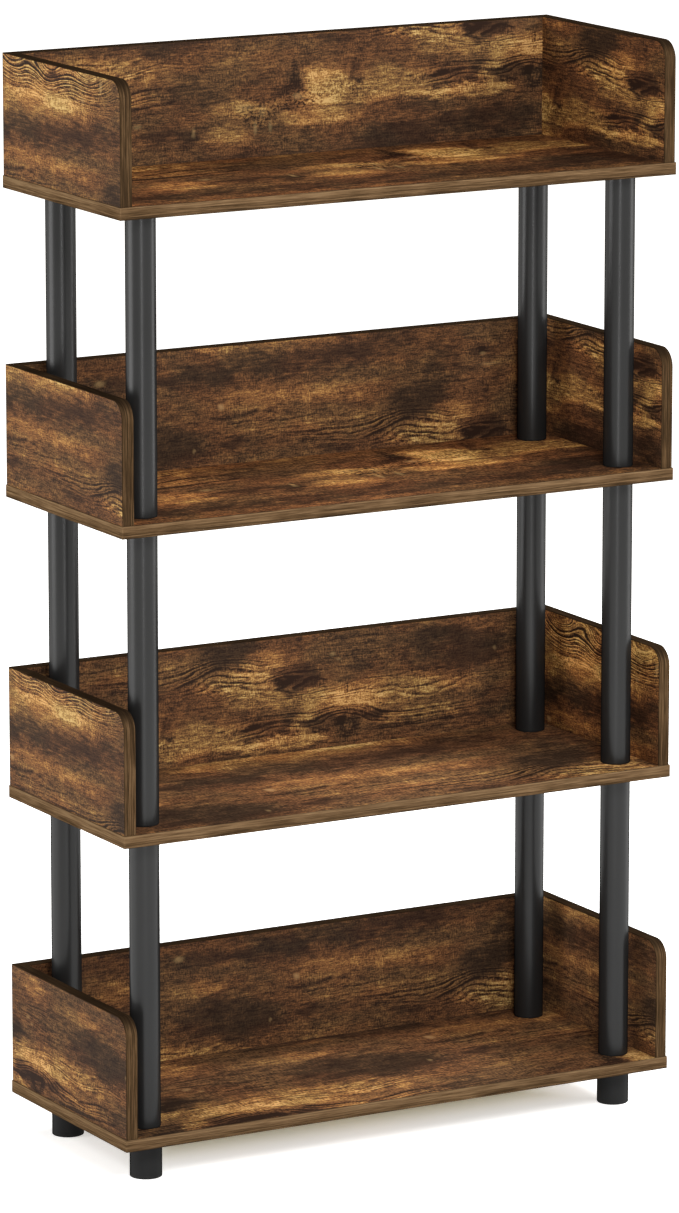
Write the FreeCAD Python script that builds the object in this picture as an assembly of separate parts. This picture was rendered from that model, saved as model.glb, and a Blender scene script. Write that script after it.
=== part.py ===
import FreeCAD, Part
import os

# Four-tier display rack. Four boards stand on tube posts and short feet, and each board carries
# a low back panel between two low side panels. X runs along the boards, left to right as seen
# from the front, Y from front to back and Z up. The origin is on the floor, under the middle of
# the boards. All sizes are in millimetres.

# Shelf boards
board_length = 600.0
board_depth = 240.0
board_thickness = 12.0

# Upright panels on each board
panel_thickness = 12.0
panel_height = 116.5
panel_end_inset = 1.0
panel_front_inset = 1.0
panel_corner_radius = 18.0

# Edging strips glued on the cut edges of boards and panels
edging_thickness = 0.8
arris_radius = 0.4

# Tube posts: the clear height between two boards, and where the posts stand
lower_tube_span = 282.5
middle_tube_span = 282.5
upper_tube_span = 285.5
tube_diameter = 29.0
tube_wall = 2.0
post_end_inset = 40.0
post_front_inset = 37.0
post_back_inset = 41.0

# Moulded end plugs in the tubes
plug_flange = 2.0
plug_rim_radius = 1.2
plug_depth = 18.0
plug_wall = 2.0
plug_web = 2.0

# Moulded feet
foot_diameter = 31.0
foot_height = 37.0
foot_wall = 2.5
foot_floor = 3.0
foot_web = 2.0
foot_rim_radius = 0.8
boss_diameter = 14.0

# Threaded studs through the boards, and the blind nuts under the top board
stud_diameter = 8.0
stud_grip = 14.0
stud_chamfer = 0.8
nut_diameter = 11.0
nut_length = 9.0
nut_flange_diameter = 14.0
nut_flange = 1.0

# Countersunk screws that hold the panels from below
screw_diameter = 4.0
screw_length = 36.0
screw_head_diameter = 8.0
screw_head_height = 2.0
screw_tip = 3.0
recess_width = 1.2
recess_length = 4.4
recess_depth = 1.4
back_screw_shares = (-0.38, 0.0, 0.38)
side_screw_shares = (-0.30, 0.26)

# Dowels between the back panel and the side panels
dowel_diameter = 6.0
dowel_length = 28.0
dowel_side_depth = 8.0
dowel_chamfer = 0.6
dowel_height_shares = (0.30, 0.76)

# Clearances: round fits, the free end of a blind hole, and the holes that a stud or a screw
# passes through without gripping. A cutting tool runs past what it cuts by the overrun.
fit_gap = 0.05
end_gap = 0.5
pass_gap = 0.3
overrun = 5.0

shelf_names = ("bottom", "lower", "upper", "top")
tube_row_names = ("lower", "middle", "upper")
tube_spans = (lower_tube_span, middle_tube_span, upper_tube_span)

# Planes that the pieces share
end_x = board_length / 2
front_y = -board_depth / 2
back_y = board_depth / 2
panel_outer_x = end_x - panel_end_inset
panel_inner_x = panel_outer_x - panel_thickness
panel_mid_x = panel_outer_x - panel_thickness / 2
panel_front_y = front_y + panel_front_inset
back_panel_front_y = back_y - panel_thickness
back_panel_mid_y = back_y - panel_thickness / 2

post_places = {
    "front_left": (-end_x + post_end_inset, front_y + post_front_inset),
    "front_right": (end_x - post_end_inset, front_y + post_front_inset),
    "back_left": (-end_x + post_end_inset, back_y - post_back_inset),
    "back_right": (end_x - post_end_inset, back_y - post_back_inset),
}

# The underside of each board, from the floor up
shelf_undersides = [foot_height]
for span in tube_spans:
    shelf_undersides.append(shelf_undersides[-1] + board_thickness + span)

up = FreeCAD.Vector(0, 0, 1)
right = FreeCAD.Vector(1, 0, 0)


def block(x_ends, y_ends, z_ends):
    """A box between two planes along each axis."""
    lows = FreeCAD.Vector(min(x_ends), min(y_ends), min(z_ends))
    highs = FreeCAD.Vector(max(x_ends), max(y_ends), max(z_ends))
    size = highs - lows
    return Part.makeBox(size.x, size.y, size.z, lows)


def rod(diameter, start, length, direction=up):
    """A round bar from its start point along a direction."""
    return Part.makeCylinder(diameter / 2, length, start, direction)


def is_level_with(edge, z):
    """True for an edge that lies flat at height z."""
    return all(abs(vertex.Z - z) < fit_gap for vertex in edge.Vertexes)


def chamfered_rod(diameter, start, length, chamfer, direction=up):
    """A round bar with both ends chamfered."""
    bar = rod(diameter, start, length, direction)
    rims = [edge for edge in bar.Edges if len(edge.Vertexes) == 1]
    return bar.makeChamfer(chamfer, rims)


def rounded_rod(diameter, start, length, rim_radius, rim_z):
    """An upright round bar whose rim at height rim_z is rounded."""
    bar = rod(diameter, start, length)
    rims = [edge for edge in bar.Edges if is_level_with(edge, rim_z) and len(edge.Vertexes) == 1]
    return bar.makeFillet(rim_radius, rims)


def save(node, solids):
    """Writes one node as a STEP file of one or more separate solids."""
    shape = solids[0] if len(solids) == 1 else Part.makeCompound(solids)
    shape.exportStep(os.path.join("parts", node + ".step"))
    volume = sum(solid.Volume for solid in solids)
    valid = all(solid.isValid() and len(solid.Solids) == 1 for solid in solids)
    print(f"{node}: {len(solids)} solids, {volume / 1000:.2f} cm3, valid {valid}")


def screw_places():
    """Where a board's panel screws stand: three under the back panel, two under each side panel."""
    places = {"back": [(share * board_length, back_panel_mid_y) for share in back_screw_shares]}
    for side, sign in (("left", -1), ("right", 1)):
        places[side] = [(sign * panel_mid_x, share * board_depth) for share in side_screw_shares]
    return places


def panel_screw(x, y, underside):
    """A countersunk screw, point up, its head flush with the board's underside."""
    head = Part.makeCone(
        screw_head_diameter / 2,
        screw_diameter / 2,
        screw_head_height,
        FreeCAD.Vector(x, y, underside),
    )
    shank_length = screw_length - screw_head_height - screw_tip
    shank_start = FreeCAD.Vector(x, y, underside + screw_head_height)
    shank = rod(screw_diameter, shank_start, shank_length)
    tip_start = FreeCAD.Vector(x, y, underside + screw_length - screw_tip)
    tip = Part.makeCone(screw_diameter / 2, 0, screw_tip, tip_start)
    screw = head.fuse([shank, tip])
    recess_z = (underside - overrun, underside + recess_depth)
    long_ends = (-recess_length / 2, recess_length / 2)
    wide_ends = (-recess_width / 2, recess_width / 2)
    cross = [
        block([x + end for end in long_ends], [y + end for end in wide_ends], recess_z),
        block([x + end for end in wide_ends], [y + end for end in long_ends], recess_z),
    ]
    return screw.cut(cross).removeSplitter().Solids[0]


def screw_seat(x, y, underside):
    """The countersink and clearance hole in a board for one panel screw."""
    seat = Part.makeCone(
        screw_head_diameter / 2 + fit_gap,
        screw_diameter / 2 + fit_gap,
        screw_head_height,
        FreeCAD.Vector(x, y, underside),
    )
    start = FreeCAD.Vector(x, y, underside - overrun)
    hole = rod(screw_diameter + 2 * pass_gap, start, board_thickness + 2 * overrun)
    return seat.fuse(hole)


def screw_pilot(x, y, underside):
    """The blind hole in a panel's lower edge for one panel screw."""
    start = FreeCAD.Vector(x, y, underside)
    return rod(screw_diameter + 2 * fit_gap, start, screw_length + end_gap)


def dowel_heights(board_top):
    """The heights of the dowels at each rear corner of a shelf."""
    return [board_top + share * panel_height for share in dowel_height_shares]


def corner_dowel(sign, z):
    """A dowel along X, part in a side panel's inner face and the rest in the back panel's end."""
    x = sign * (panel_inner_x + dowel_side_depth)
    start = FreeCAD.Vector(x, back_panel_mid_y, z)
    return chamfered_rod(dowel_diameter, start, dowel_length, dowel_chamfer, right * -sign)


def dowel_hole(sign, z):
    """The blind holes for one dowel, drilled through the joint of a side panel and the back panel."""
    x = sign * (panel_inner_x + dowel_side_depth + end_gap)
    start = FreeCAD.Vector(x, back_panel_mid_y, z)
    diameter = dowel_diameter + 2 * fit_gap
    return rod(diameter, start, dowel_length + 2 * end_gap, right * -sign)


def board_envelope(underside):
    """The outside of a board with its edging, all arrises eased."""
    outside = block((-end_x, end_x), (front_y, back_y), (underside, underside + board_thickness))
    return outside.makeFillet(arris_radius, outside.Edges)


def board_core_block(z_ends):
    """The block of a board inside its edging."""
    return block(
        (-end_x + edging_thickness, end_x - edging_thickness),
        (front_y + edging_thickness, back_y - edging_thickness),
        z_ends,
    )


def shelf_board(underside, is_top):
    """A board with its screw seats, and holes for the studs or, in the top board, for the nuts."""
    board = board_core_block((underside, underside + board_thickness))
    cutters = [
        screw_seat(x, y, underside) for places in screw_places().values() for x, y in places
    ]
    for x, y in post_places.values():
        start = FreeCAD.Vector(x, y, underside - overrun)
        if is_top:
            cutters.append(rod(nut_diameter + 2 * fit_gap, start, overrun + nut_length + end_gap))
            cutters.append(rod(nut_flange_diameter + 2 * fit_gap, start, overrun + nut_flange))
        else:
            through = board_thickness + 2 * overrun
            cutters.append(rod(stud_diameter + 2 * pass_gap, start, through))
    return board.cut(cutters)


def board_edging(underside):
    """The four strips round a board: the long ones run full length over the ends of the short ones."""
    z_ends = (underside - overrun, underside + board_thickness + overrun)
    skin = board_envelope(underside).cut(board_core_block(z_ends))
    x_ends = (-end_x - overrun, end_x + overrun)
    front_cut = (front_y - overrun, front_y + edging_thickness)
    back_cut = (back_y - edging_thickness, back_y + overrun)
    between = (front_cut[1], back_cut[0])
    return [
        skin.common(block(x_ends, front_cut, z_ends)),
        skin.common(block(x_ends, back_cut, z_ends)),
        skin.common(block((x_ends[0], 0), between, z_ends)),
        skin.common(block((0, x_ends[1]), between, z_ends)),
    ]


def side_outline(x, board_top, skin):
    """A side panel's face in the plane at x, drawn inside its outer outline by the skin given."""
    front = panel_front_y + skin
    rear = back_y - skin
    top = board_top + panel_height - skin
    radius = panel_corner_radius - skin
    bend = radius * 0.5**0.5
    corners = {
        "front_foot": (front, board_top),
        "arc_start": (front, top - radius),
        "arc_middle": (front + radius - bend, top - radius + bend),
        "arc_end": (front + radius, top),
        "rear_top": (rear, top),
        "rear_foot": (rear, board_top),
    }
    point = {name: FreeCAD.Vector(x, y, z) for name, (y, z) in corners.items()}
    edges = [
        Part.LineSegment(point["front_foot"], point["arc_start"]).toShape(),
        Part.Arc(point["arc_start"], point["arc_middle"], point["arc_end"]).toShape(),
        Part.LineSegment(point["arc_end"], point["rear_top"]).toShape(),
        Part.LineSegment(point["rear_top"], point["rear_foot"]).toShape(),
        Part.LineSegment(point["rear_foot"], point["front_foot"]).toShape(),
    ]
    return Part.Face(Part.Wire(edges))


def side_prism(sign, board_top, skin):
    """A side panel's outline extruded through its thickness."""
    low_x = min(sign * panel_inner_x, sign * panel_outer_x)
    return side_outline(low_x, board_top, skin).extrude(right * panel_thickness)


def side_panel(side, sign, board_top, underside):
    """A side panel inside its edging, with its pilot holes and its dowel holes."""
    cutters = [screw_pilot(x, y, underside) for x, y in screw_places()[side]]
    cutters += [dowel_hole(sign, z) for z in dowel_heights(board_top)]
    return side_prism(sign, board_top, edging_thickness).cut(cutters)


def side_edging(sign, board_top):
    """Two strips: one up the front, round the corner and along the top, and one on the rear edge."""
    outside = side_prism(sign, board_top, 0)
    eased = [edge for edge in outside.Edges if not is_level_with(edge, board_top)]
    core = side_prism(sign, board_top, edging_thickness)
    skin = outside.makeFillet(arris_radius, eased).cut(core)
    x_ends = (-end_x - overrun, end_x + overrun)
    rear_cut = block(
        x_ends,
        (back_y - edging_thickness, back_y + overrun),
        (board_top - overrun, board_top + panel_height - edging_thickness),
    )
    return [skin.cut(rear_cut), skin.common(rear_cut)]


def back_panel(board_top, underside):
    """The panel between the side panels, inside its top edging."""
    top = board_top + panel_height - edging_thickness
    x_ends = (-panel_inner_x, panel_inner_x)
    cutters = [screw_pilot(x, y, underside) for x, y in screw_places()["back"]]
    cutters += [dowel_hole(sign, z) for sign in (-1, 1) for z in dowel_heights(board_top)]
    return block(x_ends, (back_panel_front_y, back_y), (board_top, top)).cut(cutters)


def back_edging(board_top):
    """The strip along the back panel's top, its two long arrises eased."""
    top = board_top + panel_height
    x_ends = (-panel_inner_x, panel_inner_x)
    strip = block(x_ends, (back_panel_front_y, back_y), (top - edging_thickness, top))
    long_edges = [edge for edge in strip.Edges if is_level_with(edge, top)]
    long_edges = [edge for edge in long_edges if edge.Length > panel_thickness]
    return strip.makeFillet(arris_radius, long_edges)


def tube(x, y, floor_z, span):
    """A tube cut square, between the flanges of its two end plugs."""
    start = FreeCAD.Vector(x, y, floor_z + plug_flange)
    length = span - 2 * plug_flange
    bore = rod(tube_diameter - 2 * tube_wall, start, length)
    return rod(tube_diameter, start, length).cut(bore)


def webbed_cup(x, y, z_ends, outer_diameter, wall, web):
    """The inside of a moulding between two heights: a ring, a central boss and four webs."""
    start = FreeCAD.Vector(x, y, z_ends[0])
    height = z_ends[1] - z_ends[0]
    hollow = rod(outer_diameter - 2 * wall, start, height)
    ring = rod(outer_diameter, start, height).cut(hollow)
    boss = rod(boss_diameter, start, height)
    reach = outer_diameter / 2 - wall / 2
    along_x = block((x - reach, x + reach), (y - web / 2, y + web / 2), z_ends)
    along_y = block((x - web / 2, x + web / 2), (y - reach, y + reach), z_ends)
    return ring.fuse([boss, along_x, along_y])


def end_plug(x, y, board_face_z, inward):
    """A tube's end plug. Its flange lies on the board's face, and its body points inward, up or down."""
    tube_end_z = board_face_z + inward * plug_flange
    body_end_z = tube_end_z + inward * plug_depth
    flange_start = FreeCAD.Vector(x, y, min(board_face_z, tube_end_z))
    flange = rounded_rod(tube_diameter, flange_start, plug_flange, plug_rim_radius, board_face_z)
    body_diameter = tube_diameter - 2 * tube_wall - 2 * fit_gap
    body_ends = sorted((tube_end_z, body_end_z))
    body = webbed_cup(x, y, body_ends, body_diameter, plug_wall, plug_web)
    bore_start = FreeCAD.Vector(x, y, min(board_face_z, body_end_z) - overrun)
    bore_length = plug_flange + plug_depth + 2 * overrun
    bore = rod(stud_diameter + 2 * fit_gap, bore_start, bore_length)
    return flange.fuse(body).cut(bore).removeSplitter().Solids[0]


def foot(x, y):
    """A moulded foot: a closed floor, a wall that bears on the board, and a threaded boss."""
    start = FreeCAD.Vector(x, y, 0)
    base = rounded_rod(foot_diameter, start, foot_floor, foot_rim_radius, 0)
    sides = webbed_cup(x, y, (foot_floor, foot_height), foot_diameter, foot_wall, foot_web)
    bore_depth = stud_grip + end_gap
    bore_start = FreeCAD.Vector(x, y, foot_height - bore_depth)
    bore = rod(stud_diameter + 2 * fit_gap, bore_start, bore_depth + overrun)
    return base.fuse(sides).cut(bore).removeSplitter().Solids[0]


def stud(x, y, low_z, high_z):
    """A threaded stud, its thread drawn as a plain bar with chamfered ends."""
    return chamfered_rod(stud_diameter, FreeCAD.Vector(x, y, low_z), high_z - low_z, stud_chamfer)


def insert_nut(x, y, underside):
    """A flanged blind nut, flush with the top board's underside."""
    start = FreeCAD.Vector(x, y, underside)
    flange = rod(nut_flange_diameter, start, nut_flange)
    barrel = rod(nut_diameter, start, nut_length)
    bore_start = FreeCAD.Vector(x, y, underside - overrun)
    bore = rod(stud_diameter + 2 * fit_gap, bore_start, nut_length + 2 * overrun)
    return barrel.fuse(flange).cut(bore).removeSplitter().Solids[0]


def make_shelf(name, underside):
    """One shelf: its board, three panels, edging, screws and dowels."""
    board_top = underside + board_thickness
    prefix = name + "_shelf_"
    save(prefix + "board", [shelf_board(underside, name == shelf_names[-1])])
    save(prefix + "board_edging", board_edging(underside))
    save(prefix + "back_panel", [back_panel(board_top, underside)])
    save(prefix + "left_panel", [side_panel("left", -1, board_top, underside)])
    save(prefix + "right_panel", [side_panel("right", 1, board_top, underside)])
    strips = side_edging(-1, board_top) + side_edging(1, board_top) + [back_edging(board_top)]
    save(prefix + "panel_edging", strips)
    places = [place for group in screw_places().values() for place in group]
    save(prefix + "panel_screws", [panel_screw(x, y, underside) for x, y in places])
    heights = dowel_heights(board_top)
    save(prefix + "corner_dowels", [corner_dowel(sign, z) for sign in (-1, 1) for z in heights])


def make_tube_row(name, floor_z, span):
    """The four tubes between two boards, with their end plugs."""
    ceiling_z = floor_z + span
    for corner, (x, y) in post_places.items():
        save(f"{name}_tube_{corner}", [tube(x, y, floor_z, span)])
    bottom_plugs = [end_plug(x, y, floor_z, 1) for x, y in post_places.values()]
    save(f"{name}_tube_bottom_plugs", bottom_plugs)
    top_plugs = [end_plug(x, y, ceiling_z, -1) for x, y in post_places.values()]
    save(f"{name}_tube_top_plugs", top_plugs)


def make_studs(name, underside):
    """The studs through one board, or up into the blind nuts of the top board."""
    low_z = underside - stud_grip
    high_z = underside + board_thickness + stud_grip
    if name == shelf_names[-1]:
        high_z = underside + nut_length
    save(name + "_shelf_studs", [stud(x, y, low_z, high_z) for x, y in post_places.values()])


os.makedirs("parts", exist_ok=True)

for corner, (x, y) in post_places.items():
    save("foot_" + corner, [foot(x, y)])

for name, underside in zip(shelf_names, shelf_undersides):
    make_shelf(name, underside)
    make_studs(name, underside)

for name, underside, span in zip(tube_row_names, shelf_undersides, tube_spans):
    make_tube_row(name, underside + board_thickness, span)

top_underside = shelf_undersides[-1]
nuts = [insert_nut(x, y, top_underside) for x, y in post_places.values()]
save("top_shelf_insert_nuts", nuts)
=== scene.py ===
import math
import bpy
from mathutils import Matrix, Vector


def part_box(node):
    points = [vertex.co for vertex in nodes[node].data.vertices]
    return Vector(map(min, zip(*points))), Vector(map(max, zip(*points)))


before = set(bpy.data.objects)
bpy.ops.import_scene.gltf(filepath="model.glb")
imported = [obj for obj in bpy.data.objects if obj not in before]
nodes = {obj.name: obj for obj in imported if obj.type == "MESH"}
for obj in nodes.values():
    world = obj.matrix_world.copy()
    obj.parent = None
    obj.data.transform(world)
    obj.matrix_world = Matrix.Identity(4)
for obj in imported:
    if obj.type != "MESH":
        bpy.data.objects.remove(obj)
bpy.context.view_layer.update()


# The camera stands to the left of the rack and a little above it, with a long lens, so that the posts stay
# almost parallel. It is tilted down without any shift, and the whole rack is in its frame.
tilted_down, turned_right = math.radians(11.924), math.radians(29.365)
camera_data = bpy.data.cameras.new("camera")
camera_data.sensor_width = 36
camera_data.lens = 203.3
camera_data.clip_start = 0.1
camera_data.clip_end = 100
camera = bpy.data.objects.new("camera", camera_data)
camera.location = (-3.1682, -5.6266, 1.8736)
camera.rotation_euler = (math.pi / 2 - tilted_down, 0, -turned_right)
bpy.context.scene.collection.objects.link(camera)
bpy.context.scene.camera = camera
bpy.context.scene.view_settings.view_transform = "Standard"


# The four boards are particle board faced with one printed sheet: an old rustic plank in brown and gold,
# with dark stains, growth lines, a knot and nail marks. Each board is cut from its own place on the sheet.
class Wire:
    """One socket of a shader tree. Sums and products add Math nodes, and make() adds any other node."""

    def __init__(self, tree, socket=None):
        self.tree = tree
        self.socket = socket

    def make(self, kind, settings=(), inputs=(), output=0):
        """A new node, with its settings or a ramp's stops set first, and values or wires on its inputs."""
        node = self.tree.nodes.new(kind)
        for name, value in dict(settings).items():
            if name == "stops":
                while len(node.color_ramp.elements) < len(value):
                    node.color_ramp.elements.new(1)
                for element, (place, colour) in zip(node.color_ramp.elements, value):
                    element.position = place
                    element.color = (*colour, 1)
            else:
                setattr(node, name, value)
        for name, value in dict(inputs).items():
            if isinstance(value, Wire):
                value.feed(node, name)
            else:
                node.inputs[name].default_value = value
        return Wire(self.tree, node.outputs[output] if node.outputs else None)

    def feed(self, node, name):
        """Links the wire to a node's input."""
        self.tree.links.new(self.socket, node.inputs[name])

    def beside(self, output):
        """Another output of the node that this wire comes from."""
        return Wire(self.tree, self.socket.node.outputs[output])

    def math(self, operation, *others):
        return self.make("ShaderNodeMath", {"operation": operation}, enumerate((self, *others)))

    def __add__(self, other):
        return self.math("ADD", other)

    def __sub__(self, other):
        return self.math("SUBTRACT", other)

    def __rsub__(self, other):
        return self.make("ShaderNodeMath", {"operation": "SUBTRACT"}, {0: other, 1: self})

    def __mul__(self, other):
        return self.math("MULTIPLY", other)

    __radd__ = __add__
    __rmul__ = __mul__

    def vector(self, operation, *others, output=0):
        inputs = enumerate((self, *others))
        return self.make("ShaderNodeVectorMath", {"operation": operation}, inputs, output)

    def step(self, low, high, bottom=0.0, top=1.0):
        """From bottom to top as the wire goes from low to high, with soft ends."""
        return self.make("ShaderNodeMapRange", {"interpolation_type": "SMOOTHSTEP"}, {
            "Value": self, "From Min": low, "From Max": high, "To Min": bottom, "To Max": top})

    def noise(self, stretch, detail, roughness=0.5, colour=False):
        """Noise whose grains are about as many mm along and across the grain as stretch says."""
        place = self.vector("MULTIPLY", (1 / stretch[0], 1 / stretch[1], 1))
        output = "Color" if colour else "Fac"
        return place.make("ShaderNodeTexNoise", {"noise_dimensions": "2D"}, {
            "Vector": place, "Scale": 1.0, "Detail": detail, "Roughness": roughness}, output)

    def blend(self, first, second):
        """The first colour where the wire is 0, the second where it is 1."""
        return self.make("ShaderNodeMix", {"data_type": "RGBA"}, {0: self, 6: first, 7: second}, 2)


def paint(red, green, blue):
    """A colour of 0 to 255, none of it under 10, as the linear values that shaders take."""
    return tuple(((c / 255 + 0.055) / 1.055) ** 2.4 for c in (red, green, blue))


def printed_sheet():
    """The sheet's print as a node group, whose input is the place on the sheet in mm, along and across."""
    group = bpy.data.node_groups.new("printed sheet", "ShaderNodeTree")
    group.interface.new_socket("Place", in_out="INPUT", socket_type="NodeSocketVector")
    group.interface.new_socket("Colour", in_out="OUTPUT", socket_type="NodeSocketColor")
    group.interface.new_socket("Roughness", in_out="OUTPUT", socket_type="NodeSocketFloat")
    group.interface.new_socket("Relief", in_out="OUTPUT", socket_type="NodeSocketFloat")
    place = Wire(group).make("NodeGroupInput", output="Place")
    sheet_length, sheet_width, fraying = 549, 9999, 12

    # The print repeats once a sheet, lengthwise. The growth lines are drawn on it unbent. Two noises bend it
    # for the stains, which get ragged ends, and one of them bends it a little for the small marks.
    middle_grey = (0.5, 0.5, 0.5)
    bend = place.noise((46, 20), 2, colour=True).vector("SUBTRACT", middle_grey)
    fray = place.noise((10, 4.6), 5, 0.66, colour=True).vector("SUBTRACT", middle_grey)
    bent = place.vector("ADD", bend.vector("MULTIPLY", (24, 10, 0)))
    bent = bent.vector("ADD", fray.vector("MULTIPLY", (19, 11, 0)))
    highest, lowest = (sheet_length, sheet_width, 1), (0, -sheet_width, -1)
    turned = bent.vector("WRAP", highest, lowest)
    drawn = place.vector("WRAP", highest, lowest)
    nibbled = drawn.vector("ADD", fray.vector("MULTIPLY", (5, 4, 0)))

    def spot(at, centre, size, amount, edge):
        """A soft oval of that size, which adds the amount at its middle."""
        shrink = (1 / size[0], 1 / size[1], 1)
        shift = (-centre[0] / size[0], -centre[1] / size[1], 0)
        away = at.vector("MULTIPLY_ADD", shrink, shift).vector("LENGTH", output="Value")
        return away.step(1 + edge, 1 - edge, 0, amount)

    def spots(at, ovals, edge, start=None):
        """The sum of many ovals, each drawn again one sheet on where it runs over the sheet's end."""
        total = start
        for along, across, half_length, half_width, amount in ovals:
            for turn in (-sheet_length, 0, sheet_length):
                reach = half_length * (1 + edge) + fraying
                if -reach < along + turn < sheet_length + reach:
                    oval = spot(at, (along + turn, across), (half_length, half_width), amount, edge)
                    total = oval if total is None else total + oval
        return total

    # Along, across, half length, half width and how strong, in mm on the sheet.
    gold_ovals = (
        (395, 30, 108, 42, 0.46), (386, 50, 26, 10, 0.20), (430, 55, 28, 9, 0.28),
        (330, 55, 30, 10, 0.18), (298, 69, 22, 8, 0.30), (478, 12, 34, 9, 0.34),
        (365, 124, 64, 11, 0.22), (446, 124, 40, 12, 0.18), (540, 176, 40, 12, 0.34),
        (14, 160, 34, 14, 0.34), (20, 193, 40, 10, 0.30), (150, 200, 98, 15, 0.40),
        (112, 204, 44, 8, 0.26), (40, 239, 50, 7, 0.52), (62, 222, 12, 12, 0.42),
        (196, 226, 50, 7, 0.26), (426, 226, 25, 20, 0.56), (412, 212, 14, 9, 0.14),
        (500, 226, 44, 15, 0.36), (470, 240, 60, 5, 0.26), (330, 243, 38, 8, 0.34),
        (318, 268, 26, 9, 0.30), (418, 255, 44, 9, 0.40), (106, 119, 20, 12, 0.26),
        (196, 129, 40, 7, 0.22), (190, 268, 26, 14, 0.26), (365, 150, 50, 10, 0.16),
        (450, 155, 44, 12, 0.14), (80, 110, 26, 8, 0.10), (340, 195, 40, 12, 0.10),
        (540, 238, 20, 6, 0.26),
    )
    dark_ovals = (
        (232, 163, 62, 20, 0.72), (214, 146, 28, 10, 0.3), (262, 176, 30, 14, 0.4),
        (528, 141, 30, 16, 0.85), (57, 178, 30, 14, 0.80), (385, 92, 90, 14, 0.60),
        (478, 78, 50, 14, 0.60), (280, 101, 40, 12, 0.65), (205, 99, 46, 9, 0.60),
        (323, 165, 20, 5, 0.75), (10, 108, 22, 28, 0.50), (54, 98, 14, 8, 0.45),
        (28, 221, 30, 6, 0.50), (84, 224, 22, 7, 0.65), (131, 167, 16, 12, 0.50),
        (142, 225, 16, 4, 0.85), (60, 270, 76, 15, 0.75), (278, 228, 26, 18, 0.45),
        (256, 264, 42, 9, 0.70), (458, 217, 5, 14, 0.60), (503, 220, 5, 12, 0.45),
        (462, 178, 12, 8, 0.45), (500, 279, 46, 12, 0.80), (340, 297, 330, 12, 0.60),
        (436, 182, 16, 7, 0.50), (374, 146, 14, 9, 0.30), (346, 212, 16, 12, 0.35),
        (404, 26, 13, 7, 0.80), (532, 252, 24, 8, 0.60), (352, 252, 20, 12, 0.42),
        (372, 264, 8, 6, 0.50),
    )

    # Growth lines are the contours of a gently waving slope. They bulge at its hills and hollows, and flow
    # round an eye where a hill has a hollow below it.
    hills = (
        (400, 14, 27, 34, -32), (470, 14, 33, 30, -30), (334, 12, 26, 30, -24),
        (113, 219, 24, 11, 9), (113, 238, 24, 10, -8), (57, 168, 40, 13, 8),
        (57, 192, 40, 12, -7), (520, 150, 40, 22, 12), (28, 221, 34, 9, 4),
        (480, 236, 60, 20, -8), (345, 130, 44, 12, 3), (190, 212, 50, 20, -6),
    )
    sway = place.noise((110, 40), 2) * 22 + place.noise((19, 6), 2) * 2.2
    rise = drawn.make("ShaderNodeSeparateXYZ", (), {0: drawn}, "Y")
    slope = spots(drawn, hills, 0.9, start=rise) + sway

    def growth_lines(pitch):
        """Rings about the pitch apart in mm. Each darkens slowly and ends sharply; some are stronger."""
        rings = slope * (1 / pitch)
        uneven = rings.make("ShaderNodeTexNoise", {"noise_dimensions": "1D"}, {
            "W": rings * 0.37, "Scale": 1.0, "Detail": 1.0, "Roughness": 0.6}, "Fac")
        part = (rings + uneven * 2.2).math("FRACT")
        elsewhere = 40
        strong = rings.make("ShaderNodeTexNoise", {"noise_dimensions": "1D"}, {
            "W": rings * 0.9 + elsewhere, "Scale": 1.0, "Detail": 0.0}, "Fac").step(0.32, 0.62, 0.35, 1.0)
        darkens, ends, paler_between = (0.16, 0.78), (1.0, 0.84), 0.22
        return (part.step(*darkens) * part.step(*ends) - paler_between) * strong

    fine_places = (
        (352, 26, 58, 24, 0.50), (440, 26, 52, 26, 0.40), (490, 40, 34, 22, 0.28),
        (516, 166, 46, 18, 0.48), (446, 162, 60, 14, 0.32), (10, 176, 44, 18, 0.40),
        (60, 180, 28, 16, 0.40), (350, 148, 50, 9, 0.26), (120, 150, 34, 14, 0.24),
    )
    bold_places = (
        (150, 206, 112, 22, 0.50), (28, 224, 44, 16, 0.42), (84, 224, 30, 13, 0.36),
        (196, 230, 60, 14, 0.40), (60, 242, 74, 9, 0.20), (500, 232, 64, 14, 0.22),
        (366, 22, 74, 24, 0.86), (456, 28, 46, 22, 0.70),
    )
    fine_everywhere, bold_everywhere = 0.09, 0.05
    fine_lines = growth_lines(pitch=3.5) * (spots(turned, fine_places, 0.5) + fine_everywhere)
    bold_lines = growth_lines(pitch=5.8) * (spots(turned, bold_places, 0.5) + bold_everywhere)
    worn = place.noise((10, 3.6), 3, 0.6).step(0.24, 0.56, 0.40, 1.0)
    lines = (fine_lines + bold_lines) * worn * 1.2

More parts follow.
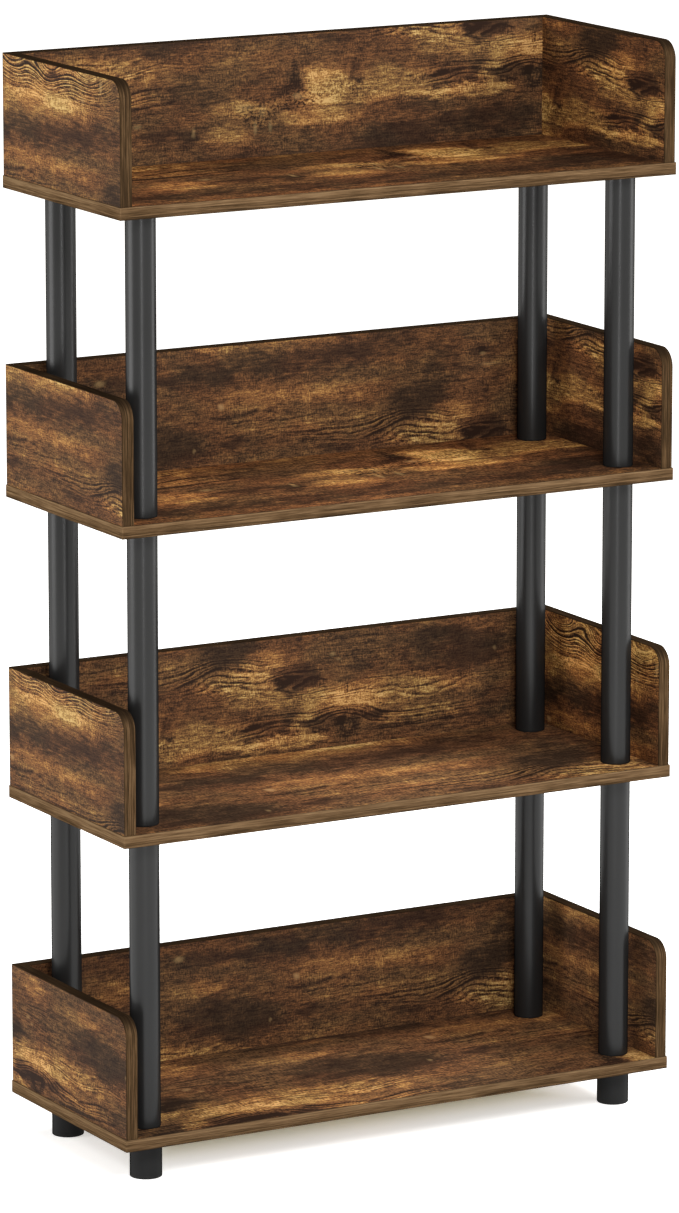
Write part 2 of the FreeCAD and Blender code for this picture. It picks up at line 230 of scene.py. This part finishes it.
    # Mottling, lengthwise grain and crosswise saw marks lie over everything, and show more on light wood. The
    # numbers by which the marks are multiplied say how far each lightens or darkens the tone.
    mottle = place.noise((19, 8), 5, 0.66) - 0.5
    streaks = place.noise((52, 2.4), 2) - 0.5
    grain = place.noise((9, 1.0), 3, 0.65) - 0.5
    sawn = place.noise((40, 24), 1).step(0.38, 0.66, 0.1, 1.0)
    saw_marks = (place.noise((2.6, 15), 3, 0.66) - 0.5) * sawn
    speckle = place.noise((1.9, 1.4), 2, 0.6).step(0.30, 0.70) - 0.5
    scratches = place.noise((9, 1.2), 2, 0.55).step(0.32, 0.68) - 0.5
    ticked = place.noise((26, 16), 2).step(0.36, 0.62)
    ticks = (place.noise((1.3, 6), 2, 0.55).step(0.34, 0.66) - 0.5) * ticked
    strokes = place.noise((12, 3.2), 3, 0.6).step(0.34, 0.66) - 0.5
    gold = spots(turned, gold_ovals, 0.42)
    dark = (spots(turned, dark_ovals, 0.5) - mottle * 0.8 - streaks * 0.5).step(0.10, 0.90)
    plain_wood = 0.32
    tone = gold * (1 + mottle * 0.8) + plain_wood + mottle * 0.38
    cover = sum(mark * amount for mark, amount in (
        (mottle, 0.30), (streaks, 0.34), (grain, 0.42), (saw_marks, 0.42),
        (speckle, 0.42), (scratches, 0.30), (ticks, 0.36), (strokes, 0.24)))
    tone = tone + cover * (tone.math("MAXIMUM", 0.0) * 0.9 + 0.30) - lines
    tone = tone * (1 - dark * 0.60) - dark * 0.03

    # The knot, the split with its flaked edges, and the small pale and dark marks of nails and knocks.
    flaked_places = (
        (398, 238, 24, 8, 1.0), (352, 248, 22, 14, 0.8), (178, 97, 9, 4, 0.5), (440, 230, 30, 10, 0.45),
        (330, 60, 26, 12, 0.35), (512, 178, 20, 12, 0.5), (150, 165, 30, 12, 0.3), (470, 60, 24, 12, 0.3),
    )
    flakes = place.noise((3.2, 2.6), 4, 0.7).step(0.34, 0.56) - 0.66
    tone = tone + spots(turned, flaked_places, 0.6) * flakes * 0.9
    knot = spots(nibbled, ((113, 228, 12, 12, -0.30), (113, 228, 5.5, 8, 0.26)), 0.35)
    split = spots(nibbled, (
        (391, 204, 2.4, 8, -0.20), (392, 216, 4, 8, -0.24), (388, 224, 6, 4, -0.20),
        (399, 224, 6, 5, -0.24), (377, 229, 9, 4, -0.28), (393, 243, 20, 2, -0.16)), 0.8)
    pits = spots(nibbled, (
        (54, 97, 6, 3, -0.24), (186, 183, 1.6, 2.4, -0.4), (112, 193, 1.2, 4, -0.34),
        (59, 137, 3, 3, -0.2), (146, 201, 1.4, 1.6, -0.3), (519, 222, 4, 1.8, -0.3),
        (33, 135, 1.6, 5, -0.2), (212, 152, 2, 2, -0.2)), 0.5)
    tone = (tone + knot + split + pits).math("MAXIMUM", 0.0)
    tone_one_on_ramp = 0.8
    wood = tone.make("ShaderNodeValToRGB", {"stops": (
        (0.0, paint(42, 30, 23)), (0.11, paint(62, 45, 33)), (0.27, paint(91, 64, 43)),
        (0.44, paint(120, 84, 53)), (0.64, paint(151, 112, 66)), (0.80, paint(178, 139, 82)),
        (1.0, paint(204, 166, 108)))}, {0: tone * tone_one_on_ramp}, "Color")
    nicks = spots(nibbled, (
        (309.5, 129, 2.8, 2.6, 0.50), (95, 157, 2.6, 2.0, 0.26), (178, 95, 4.6, 2.6, 0.40),
        (54, 101, 3, 1.6, 0.24), (102, 163, 2, 1.2, 0.22), (348, 262, 1.6, 6, 0.28),
        (365, 261, 1.6, 5, 0.26), (356, 246, 3, 5, 0.16), (395, 234, 5, 2.6, 0.36),
        (493, 26, 2.0, 6, 0.40), (460, 45, 3, 2.2, 0.36), (281, 262, 1.8, 4, 0.26),
        (280, 170, 1.6, 2, 0.26), (220, 252, 4, 2, 0.22), (336, 241, 8, 3, 0.18),
        (62, 112, 9, 1.4, 0.2)), 0.8)
    wood = nicks.blend(wood, (*paint(184, 152, 104), 1))
    # A slow drift in hue, between an olive and a redder brown.
    drift = place.noise((70, 34), 2).step(0.35, 0.65)
    wood = wood.make("ShaderNodeMix", {"data_type": "RGBA", "blend_type": "MULTIPLY"}, {
        0: 1.0, 6: wood, 7: drift.blend((1.06, 0.97, 0.94, 1), (0.96, 1.01, 1.00, 1))}, 2)
    gloss = 0.52 + grain * 0.16 - mottle * 0.10
    relief = grain + speckle * 0.5
    place.make("NodeGroupOutput", (), {"Colour": wood, "Roughness": gloss, "Relief": relief})
    return group


sheet_print = printed_sheet()


def new_finish(name):
    """A new material, its surface shader, and an empty wire from which its tree starts."""
    material = bpy.data.materials.new(name)
    material.use_nodes = True
    tree = material.node_tree
    return material, tree.nodes["Principled BSDF"], Wire(tree)


def satin_coat(surface, start, gloss, roughness, fade):
    """A thin top coat. Its gloss fades between two values of facing, where it is seen along the surface."""
    grazing_share = 0.06
    facing = start.make("ShaderNodeLayerWeight", (), {"Blend": 0.5}, "Facing")
    facing.step(*fade, gloss, gloss * grazing_share).feed(surface, "Coat Weight")
    surface.inputs["Coat Roughness"].default_value = roughness
    surface.inputs["Specular IOR Level"].default_value = 0.0


mm = 1000


def sheet_finish(name, corner, along, across, through, middle, cut, scale, contrast=1.0, painted_light=1.0):
    """The printed face of one panel.

    corner: the panel's corner, in metres, that lies at cut, which is its place on the sheet in mm
    along, across, through: how the panel's X, Y and Z run on the sheet and through the panel's thickness
    middle: the panel's middle plane along through; the face beyond it shows another part of the sheet
    scale: how much larger than on the sheet the print is along and across
    contrast, lightness: how much stronger than the others this panel's sheet was printed, and how much
    lighter its colour is made, which is painted light for how brightly the panel is lit
    """
    material, surface, start = new_finish(name)
    place = start.make("ShaderNodeTexCoord", output="Object")
    local = place.vector("SUBTRACT", corner)
    run = local.vector("DOT_PRODUCT", tuple(mm / scale[0] * a for a in along), output="Value")
    rise = local.vector("DOT_PRODUCT", tuple(mm / scale[1] * a for a in across), output="Value")
    beyond = place.vector("DOT_PRODUCT", through, output="Value").math("GREATER_THAN", middle)
    other_face = (213, 57)
    on_sheet = start.make("ShaderNodeCombineXYZ", (), {
        0: run + beyond * other_face[0] + cut[0], 1: rise + beyond * other_face[1] + cut[1]})
    colour = on_sheet.make("ShaderNodeGroup", {"node_tree": sheet_print}, {"Place": on_sheet}, "Colour")
    strong = colour.make("ShaderNodeGamma", (), {"Color": colour, "Gamma": contrast})
    # Painted light: the colour is made lighter or darker by the lightness, for how brightly this panel is
    # lit.
    strong.vector("MULTIPLY", (painted_light, painted_light, painted_light)).feed(surface, "Base Color")
    colour.beside("Roughness").feed(surface, "Roughness")
    bump = colour.make("ShaderNodeBump", (), {
        "Strength": 0.25, "Distance": 0.00012, "Height": colour.beside("Relief")}, "Normal")
    bump.feed(surface, "Normal")
    satin_coat(surface, start, gloss=0.11, roughness=0.45, fade=(0.60, 0.90))
    return material


def dress(node, material):
    """Give a carried-over piece its finish."""
    slots = nodes[node].data.materials
    slots.clear()
    slots.append(material)


# A cut is a place on the sheet in mm, and a print its contrast and lightness. The lightness is painted light
# and shade: each panel's colour is made lighter or darker for how brightly it is lit.
tiers = ("bottom", "lower", "upper", "top")
board_scale = (1.40, 1.78)
board_cuts = {"top": (112, 185.1), "upper": (112, 185.1), "lower": (161, 50), "bottom": (2, 93.3)}
board_contrast_and_painted_light = {"top": (1.12, 1.68), "upper": (1.12, 1.86), "lower": (1.0, 1.43), "bottom": (1.0, 1.25)}
for tier in tiers:
    low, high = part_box(f"{tier}_shelf_board")
    contrast, painted_light = board_contrast_and_painted_light[tier]
    dress(f"{tier}_shelf_board", sheet_finish(
        f"{tier} board print", corner=(low.x, high.y, high.z), along=(1, 0, 0), across=(0, -1, 0),
        through=(0, 0, -1), middle=-(low.z + high.z) / 2, cut=board_cuts[tier], scale=board_scale,
        contrast=contrast, painted_light=painted_light))


# The back panels stand on the boards, between the side panels. They are cut from the same sheet, with the
# grain along the rack, and are screwed from below. Their cuts count from the boards' left end.
boards_left_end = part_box("bottom_shelf_board_edging")[0].x
back_cuts = {"top": (82.5, 174), "upper": (82.5, 70), "lower": (293.5, 135), "bottom": (0, 80)}
# The back panels' lightness is painted light and shade, for how brightly each one is lit.
back_painted_light = {"top": 0.91, "upper": 0.92, "lower": 1.0, "bottom": 0.90}
for tier in tiers:
    low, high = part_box(f"{tier}_shelf_back_panel")
    dress(f"{tier}_shelf_back_panel", sheet_finish(
        f"{tier} back panel print", corner=(boards_left_end, high.y, high.z), along=(1, 0, 0),
        across=(0, 0, -1), through=(0, 1, 0), middle=(low.y + high.y) / 2, cut=back_cuts[tier],
        scale=(1, 1), painted_light=back_painted_light[tier]))


# The side panels close the ends of each tray, with a rounded front corner at the top. Their grain runs from
# back to front.
side_scale = (1.10, 0.86)
left_cuts = {"top": (311, 15.3), "upper": (311, 59.5), "lower": (305, 28.2), "bottom": (64.7, 105.5)}
right_cuts = {"top": (422.8, 125.2), "upper": (422.8, 153.2), "lower": (280.5, 2), "bottom": (303, 61.5)}
# The lightness in these is painted light: each panel's colour is made lighter or darker for how brightly it
# is lit, and the right panels' inner faces are made much lighter.
left_contrast_and_painted_light = {"top": (1.0, 0.98), "upper": (1.0, 0.98), "lower": (1.0, 0.98), "bottom": (1.0, 1.0)}
right_contrast_and_painted_light = {"top": (1.12, 1.27), "upper": (1.1, 1.6), "lower": (1.15, 1.43), "bottom": (1.0, 1.2)}
for tier in tiers:
    for side, cuts, contrasts_and_painted_lights in (("left", left_cuts, left_contrast_and_painted_light), ("right", right_cuts, right_contrast_and_painted_light)):
        low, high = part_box(f"{tier}_shelf_{side}_panel")
        contrast, painted_light = contrasts_and_painted_lights[tier]
        dress(f"{tier}_shelf_{side}_panel", sheet_finish(
            f"{tier} {side} panel print", corner=(low.x, high.y, high.z), along=(0, -1, 0),
            across=(0, 0, -1), through=(1, 0, 0), middle=(low.x + high.x) / 2, cut=cuts[tier],
            scale=side_scale, contrast=contrast, painted_light=painted_light))


# The raw edges of boards and panels are covered with edging strips in a plainer brown, glued on and trimmed
# flush. Their grain runs lengthwise, and the glue line shows dark along both arrises. Painted shade makes the
# strips darker where they run over the tops of the panels.
def edging_finish(name, place_across, shift, rise=0.0, painted_light_at_ends=0.0, top=None):
    """place_across: a function of the wire with the place in mm, which gives 0 to 12 across the strip.

    shift: how much lighter or darker the tone is than the middle one; how it differs between tiers is painted
    light
    rise: how much lighter the tone gets with each mm across, which is painted light: a board's strip is
    lighter towards its top
    painted_light_at_ends: how much lighter the strips on the rack's two ends are made, which is painted light
    on the end faces
    top: the height in mm of the panels' tops, at which the strip is darkest, by painted shade
    """
    material, surface, start = new_finish(name)
    place = start.make("ShaderNodeTexCoord", output="Object").vector("MULTIPLY", (mm, mm, mm))
    across = place_across(place)
    along = place.vector("DOT_PRODUCT", (1, 1, 1), output="Value") - across
    strip = start.make("ShaderNodeCombineXYZ", (), {0: along, 1: across})
    fibre = strip.noise((46, 1.15), 4, 0.68) - 0.5
    band = strip.noise((280, 2.6), 2) - 0.5
    cloud = strip.noise((46, 9), 3, 0.6) - 0.5
    middle_tone = 0.5
    # Painted light: with rise, a strip round a board gets lighter towards its top.
    tone = fibre * 1.8 + band * 0.5 + cloud * 0.3 + across * rise + middle_tone + shift
    # Painted light: the strips on the rack's two ends are made lighter.
    if painted_light_at_ends:
        end_strips_from = 299.1
        outwards = start.make("ShaderNodeSeparateXYZ", (), {0: place}, "X").math("ABSOLUTE")
        tone = tone + outwards.math("GREATER_THAN", end_strips_from) * painted_light_at_ends
    colour = tone.make("ShaderNodeValToRGB", {"stops": (
        (0.0, paint(50, 37, 24)), (0.3, paint(78, 59, 39)), (0.6, paint(103, 80, 56)),
        (1.0, paint(130, 105, 76)))}, {0: tone}, "Color")
    half_width, glue_from, glue_to, glue_shade = 6, 5.45, 5.8, 0.62
    shade = (across - half_width).math("ABSOLUTE").step(glue_from, glue_to, 0, glue_shade)
    # Painted shade: the panels' strips get darker towards the panels' tops.
    if top is not None:
        shade_from, shade_to, painted_top_shade = top - 14, top - 1, 0.78
        height = start.make("ShaderNodeSeparateXYZ", (), {0: place}, "Z")
        shade = shade.math("MAXIMUM", height.step(shade_from, shade_to, 0, painted_top_shade))
    shade.blend(colour, (*paint(30, 22, 15), 1)).feed(surface, "Base Color")
    (0.62 - fibre * 0.16).feed(surface, "Roughness")
    surface.inputs["Specular IOR Level"].default_value = 0.0
    return material


def across_board_strip(underside):
    """Across the strips round a board is up."""
    return lambda place: place.make("ShaderNodeSeparateXYZ", (), {0: place}, "Z") - underside


def across_panel_strip(place):
    """Across a side panel's strip is X. Across the back panel's top strip, between them, it is Y."""
    width = place.make("ShaderNodeSeparateXYZ", (), {0: place}, "X").math("ABSOLUTE")
    depth = place.make("ShaderNodeSeparateXYZ", (), {0: place}, "Y")
    side_inner_face, back_front_face, between_to = 287, 108, 286.5
    between = width.math("LESS_THAN", between_to)
    return width - side_inner_face + between * (depth - back_front_face - width + side_inner_face)


# The strips' tones differ by tier as painted light: the strips of the lower tiers are made lighter.
board_strip_tone_and_painted_light = {"top": -0.34, "upper": -0.32, "lower": -0.22, "bottom": -0.21}
panel_strip_tone_and_painted_light = {"top": -0.37, "upper": -0.35, "lower": -0.25, "bottom": -0.24}
painted_end_light = {"top": 0.13, "upper": 0.15, "lower": 0.10, "bottom": 0.07}
for tier in tiers:
    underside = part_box(f"{tier}_shelf_board_edging")[0].z * mm
    panel_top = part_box(f"{tier}_shelf_panel_edging")[1].z * mm
    dress(f"{tier}_shelf_board_edging", edging_finish(
        f"{tier} board edging", across_board_strip(underside), board_strip_tone_and_painted_light[tier],
        rise=0.040, painted_light_at_ends=painted_end_light[tier]))
    dress(f"{tier}_shelf_panel_edging", edging_finish(
        f"{tier} panel edging", across_panel_strip, panel_strip_tone_and_painted_light[tier], top=panel_top))


# The posts are steel tubes with a satin black powder coat, which shows a very fine orange peel. They stand
# between the boards, and studs through the boards join each one to the next.
def black_finish(name, colour, roughness, gloss, grain, depth):
    """grain: how many grains of orange peel go to a metre; depth: how deep they are, in metres"""
    material, surface, start = new_finish(name)
    place = start.make("ShaderNodeTexCoord", output="Object")
    fine = start.make("ShaderNodeTexNoise", (), {"Vector": place, "Scale": grain, "Detail": 2.0}, "Fac")
    broad = start.make("ShaderNodeTexNoise", (), {"Vector": place, "Scale": 9.0, "Detail": 3.0}, "Fac")
    lightest = 1.18
    lighter = tuple(c * lightest for c in colour)
    broad.step(0.3, 0.7).blend((*colour, 1), (*lighter, 1)).feed(surface, "Base Color")
    (0.6 + (broad - 0.5) * 0.10 + (fine - 0.5) * 0.08).feed(surface, "Roughness")
    bump = start.make("ShaderNodeBump", (), {"Strength": 0.3, "Distance": depth, "Height": fine}, "Normal")
    bump.feed(surface, "Normal")
    satin_coat(surface, start, gloss, roughness, fade=(0.45, 0.82))
    return material


powder_coat = black_finish(
    "satin black powder coat", paint(27, 27, 27), roughness=0.29, gloss=0.48, grain=900, depth=0.00002)
rows = ("lower", "middle", "upper")
corners = ("front_left", "front_right", "back_left", "back_right")
for row in rows:
    for corner in corners:
        dress(f"{row}_tube_{corner}", powder_coat)


# Moulded plugs are pressed into the tubes' ends, and their thin rims stand on the boards. Moulded feet carry
# the rack. Both are matte black plastic.
moulding = black_finish(
    "matte black moulding", paint(28, 28, 28), roughness=0.48, gloss=0.24, grain=1600, depth=0.00003)
for row in rows:
    for end in ("bottom", "top"):
        dress(f"{row}_tube_{end}_plugs", moulding)
for corner in corners:
    dress(f"foot_{corner}", moulding)


# Zinc-plated studs, insert nuts and screws hold the rack together. They are out of sight but for the heads of
# the screws, which go up through the boards into the panels.
def zinc_finish():
    material, surface, start = new_finish("bright zinc")
    place = start.make("ShaderNodeTexCoord", output="Object")
    cloud = start.make("ShaderNodeTexNoise", (), {"Vector": place, "Scale": 320.0, "Detail": 3.0}, "Fac")
    cloud.blend((*paint(150, 152, 156), 1), (*paint(196, 197, 198), 1)).feed(surface, "Base Color")
    (0.26 + cloud * 0.2).feed(surface, "Roughness")
    surface.inputs["Metallic"].default_value = 1.0
    return material


zinc = zinc_finish()
for tier in tiers:
    dress(f"{tier}_shelf_studs", zinc)
    dress(f"{tier}_shelf_panel_screws", zinc)
dress("top_shelf_insert_nuts", zinc)


# Round beech dowels join the back panels to the side panels. They are glued in, out of sight, two at each
# corner.
def beech_finish():
    material, surface, start = new_finish("beech")
    place = start.make("ShaderNodeTexCoord", output="Object").vector("MULTIPLY", (60, 900, 900))
    fleck = start.make("ShaderNodeTexNoise", (), {"Vector": place, "Scale": 1.0, "Detail": 3.0}, "Fac")
    fleck.blend((*paint(186, 142, 98), 1), (*paint(222, 186, 142), 1)).feed(surface, "Base Color")
    (0.6 + fleck * 0.1).feed(surface, "Roughness")
    return material


beech = beech_finish()
for tier in tiers:
    dress(f"{tier}_shelf_corner_dowels", beech)


# The floor is a plain white sweep. The camera sees it as white, less the rack's real shadow and a painted
# shadow, warm and deepest under the rack, that dims its glow. The glow grows away from the rack, so that the
# floor ends in pure white.
def seen_white(start):
    """1 for the rays that see the white background: the camera's, and those sent on by gloss and glass."""
    camera_ray = start.make("ShaderNodeLightPath", output="Is Camera Ray")
    sent_on = camera_ray.beside("Is Glossy Ray").math("MAXIMUM", camera_ray.beside("Is Transmission Ray"))
    return camera_ray.math("MAXIMUM", sent_on)


def floor_finish():
    material = bpy.data.materials.new("white floor")
    material.use_nodes = True
    material.node_tree.nodes.clear()
    start = Wire(material.node_tree)
    place = start.make("ShaderNodeTexCoord", output="Object")
    to_side = place.make("ShaderNodeSeparateXYZ", (), {0: place}, "X").math("ABSOLUTE")
    to_back = place.make("ShaderNodeSeparateXYZ", (), {0: place}, "Y")
    shade_side, shade_front, shade_back = 0.30, 0.12, 0.22
    inwards = (shade_side - to_side).math("MINIMUM", to_back + shade_front)
    # Painted shadow: under the rack the glow is made dimmer and warmer.
    painted_shadow_under_rack = inwards.math("MINIMUM", shade_back - to_back).step(0.046, 0.15)
    glow_tint_with_painted_shadow = painted_shadow_under_rack.blend((1, 0.975, 0.93, 1), (1, 0.88, 0.50, 1))
    glow_less_painted_shadow = place.vector("LENGTH", output="Value").step(0.45, 1.3, 0.60, 1.2) - painted_shadow_under_rack * 0.50
    glow_colour = glow_tint_with_painted_shadow.make("ShaderNodeVectorMath", {"operation": "SCALE"}, {0: glow_tint_with_painted_shadow, "Scale": glow_less_painted_shadow})
    glow = start.make("ShaderNodeEmission", (), {"Color": glow_colour, "Strength": 1.0})
    shadowed = start.make("ShaderNodeBsdfDiffuse", (), {"Color": (0.97, 0.985, 1, 1)})
    lighting = start.make("ShaderNodeBsdfDiffuse", (), {"Color": (0.86, 0.86, 0.85, 1)})
    both = start.make("ShaderNodeAddShader", (), {0: glow, 1: shadowed})
    shown = start.make("ShaderNodeMixShader", (), {0: seen_white(start), 1: lighting, 2: both})
    start.make("ShaderNodeOutputMaterial", (), {"Surface": shown})
    return material


floor_half = 30
floor_mesh = bpy.data.meshes.new("floor")
floor_mesh.from_pydata([(-floor_half, -floor_half, 0), (floor_half, -floor_half, 0),
                        (floor_half, floor_half, 0), (-floor_half, floor_half, 0)], [], [(0, 1, 2, 3)])
floor_mesh.materials.append(floor_finish())
floor = bpy.data.objects.new("floor", floor_mesh)
bpy.context.scene.collection.objects.link(floor)


# The light is a dim white room with standing soft lamps round the rack. The high ones light the boards and
# panels, and the low ones put the soft upright bands on the tubes.
world = bpy.data.worlds.new("white room")
world.use_nodes = True
world.node_tree.nodes.clear()
ambient = 0.22
strength = seen_white(Wire(world.node_tree)) * (1 - ambient) + ambient
backdrop = strength.make("ShaderNodeBackground", (), {"Color": (1, 1, 1, 1), "Strength": strength})
backdrop.make("ShaderNodeOutputWorld", (), {"Surface": backdrop})
bpy.context.scene.world = world


def standing_lamp(name, turn, low, high, width, power):
    """An upright lamp that faces the rack.

    turn: how many degrees left of the front it stands
    low, high, width: its lower and upper edge and its width, in metres
    power: in watts
    """
    lamp_data = bpy.data.lights.new(name, "AREA")
    lamp_data.shape = "RECTANGLE"
    lamp_data.size = width
    lamp_data.size_y = high - low
    lamp_data.energy = power
    lamp = bpy.data.objects.new(name, lamp_data)
    distance, angle = 2.6, math.radians(turn)
    lamp.location = (-distance * math.sin(angle), -distance * math.cos(angle), (low + high) / 2)
    lamp.rotation_euler = (math.pi / 2, 0, -angle)
    bpy.context.scene.collection.objects.link(lamp)


eye_level, top_level, floor_level = 1.65, 2.45, 0.05
standing_lamp("high right lamp", -108, eye_level, top_level, width=0.9, power=110)
standing_lamp("high front right lamp", -35, eye_level, top_level, width=0.9, power=33)
standing_lamp("high front lamp", 15, eye_level, top_level, width=0.9, power=62)
standing_lamp("high left lamp", 115, eye_level, top_level, width=0.9, power=30)
standing_lamp("low left lamp", 106, floor_level, 1.15, width=1.5, power=26)
standing_lamp("low right lamp", -70, floor_level, 1.45, width=1.0, power=16)
standing_lamp("camera side strip", 25, floor_level, eye_level, width=0.16, power=14)
